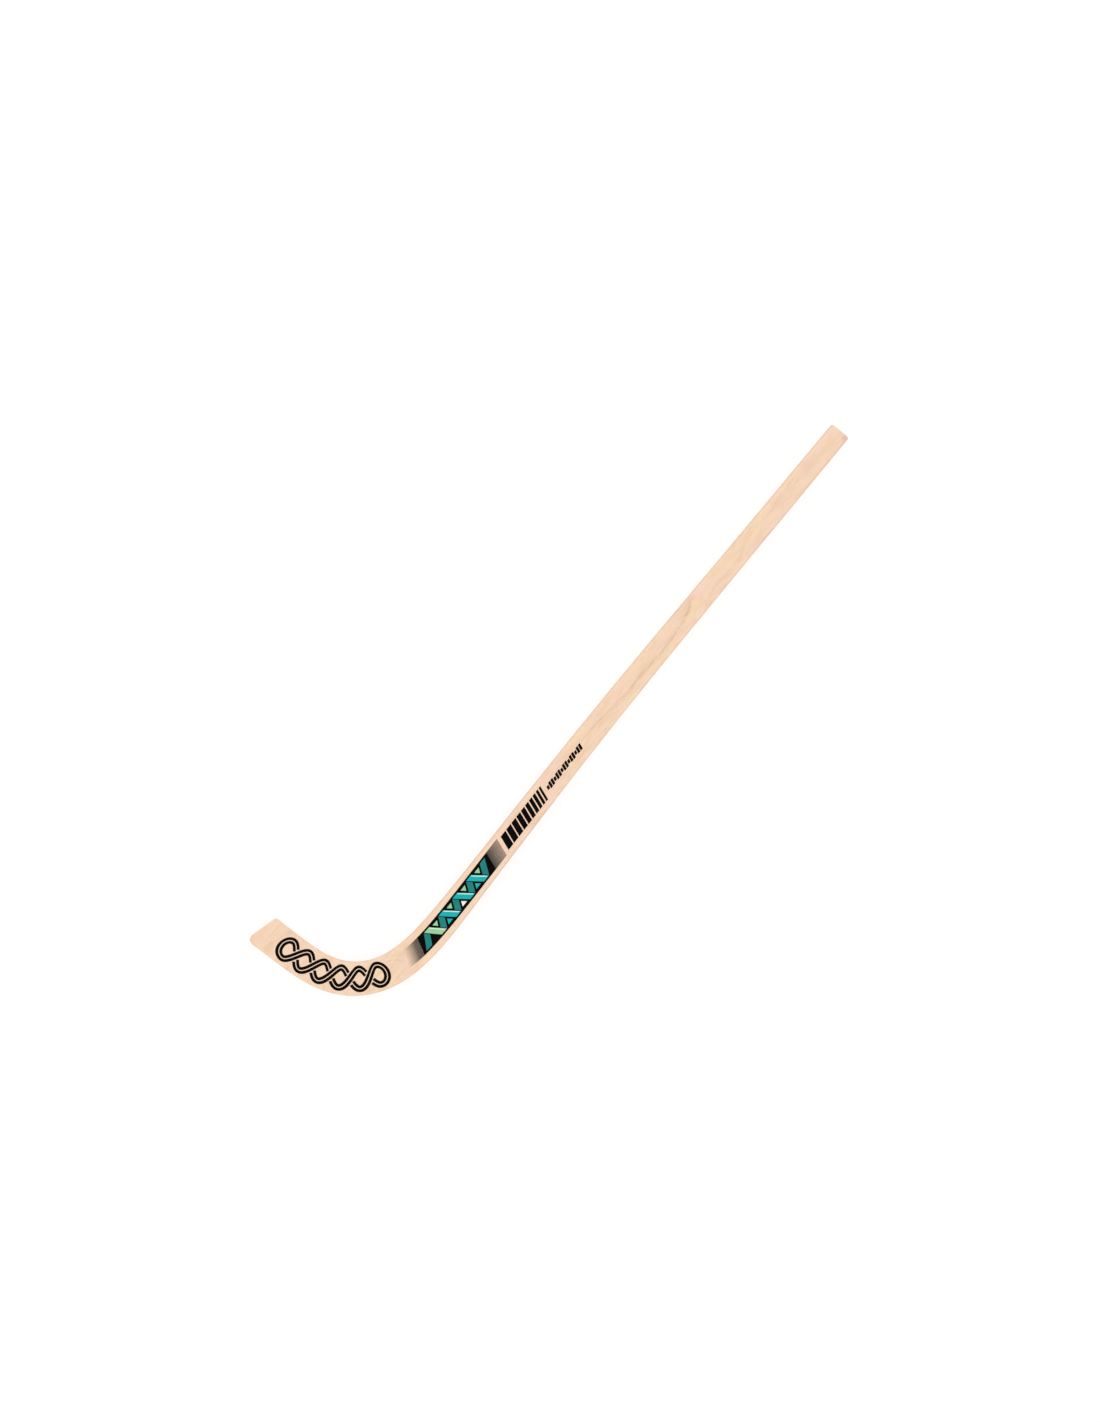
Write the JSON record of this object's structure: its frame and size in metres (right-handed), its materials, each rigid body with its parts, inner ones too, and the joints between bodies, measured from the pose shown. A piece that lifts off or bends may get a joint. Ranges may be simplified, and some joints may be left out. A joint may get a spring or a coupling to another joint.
{
  "type": "roller hockey stick",
  "caption": "Wooden rink hockey stick: a long flat shaft that bends into a short J-shaped blade, with a core of bent strips between glass cloth and face veneers.",
  "frame": {"origin": "centre of the stick's bounding box in plan, at the height of the back face that it lies on", "axes": "+X up the shaft to the butt, +Y the way the blade turns, +Z the thickness, out of the front face"},
  "size_m": [0.9824, 0.1966, 0.02],
  "materials": {
    "face_veneer": "pale flat-sawn ash under clear satin lacquer",
    "core_ash": "pale ash strip, sanded and lacquered where it shows",
    "core_beech": "pinkish beech strip, sanded and lacquered where it shows",
    "glass_cloth": "woven glass cloth set in resin",
    "glue_line": "set wood glue",
    "printed_ink": "screen-printed ink under clear satin lacquer"
  },
  "bodies": {
    "root": {"core_strip_01": "core_ash", "core_strip_02": "core_beech", "core_strip_03": "core_ash", "core_strip_04": "core_beech", "core_strip_05": "core_ash", "core_strip_06": "core_beech", "core_strip_07": "core_ash", "core_strip_08": "core_beech", "core_strip_09": "core_ash", "core_strip_10": "core_beech", "core_strip_11": "core_ash", "core_strip_12": "core_beech", "core_strip_13": "core_ash", "core_strip_14": "core_beech", "core_strip_15": "core_ash", "front_glass_cloth": "glass_cloth", "front_face_veneer": "face_veneer", "back_glass_cloth": "glass_cloth", "back_face_veneer": "face_veneer"}
  },
  "joints": []
}
